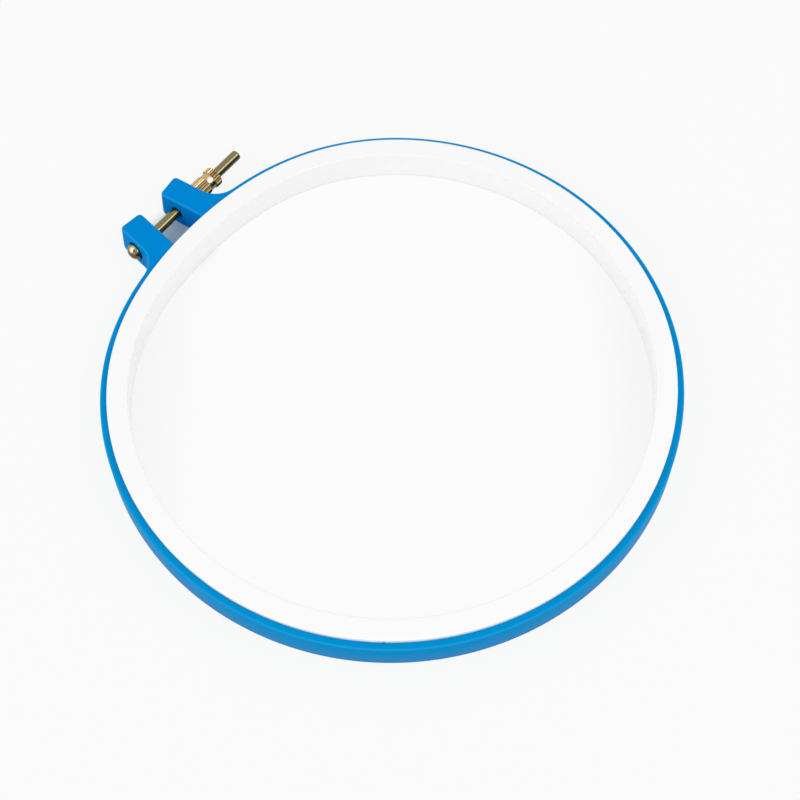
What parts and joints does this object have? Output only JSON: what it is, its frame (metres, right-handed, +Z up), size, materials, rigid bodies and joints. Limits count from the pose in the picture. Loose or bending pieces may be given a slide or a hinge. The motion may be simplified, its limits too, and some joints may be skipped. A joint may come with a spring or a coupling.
{
  "type": "embroidery hoop",
  "caption": "Round embroidery hoop with a split outer ring, a closed inner ring that grips the fabric, and a brass clamp screw with a knurled thumb nut.",
  "frame": {"origin": "middle of the outline, on the flat foot that the hoop lies on; the rings' own centre is 7.04 mm from it towards -Y", "axes": "+Z up through the rings, +Y towards the clamp lugs, +X along the clamp screw towards the thumb nut"},
  "size_m": [0.205, 0.2192, 0.0139],
  "materials": {
    "blue_plastic": "satin moulded ABS, blue",
    "white_plastic": "satin moulded ABS, white",
    "screw_brass": "plated, slightly dull",
    "nut_brass": "turned and knurled, bright"
  },
  "bodies": {
    "outer_ring": {"outer_ring": "blue_plastic"},
    "inner_ring": {"inner_ring": "white_plastic"},
    "clamp_screw": {"clamp_screw": "screw_brass"},
    "thumb_nut": {"thumb_nut": "nut_brass"}
  },
  "joints": [
    {"name": "inner_ring_lift", "type": "slide", "parent": "outer_ring", "child": "inner_ring", "axis": [0, 0, 1], "range_m": [0, 0.03]},
    {"name": "nut_spin", "type": "hinge", "parent": "outer_ring", "child": "thumb_nut", "pos_m": [0.0215, 0.10066, 0.00595], "axis": [1, 0, 0], "range_deg": [0, 5760]},
    {"name": "screw_feed", "type": "slide", "parent": "outer_ring", "child": "clamp_screw", "axis": [-1, 0, 0], "range_m": [0, 0.0127]}
  ],
  "couplings": [
    {"joint": "nut_spin", "follows": "screw_feed", "rad_per_m": 7915.8}
  ]
}
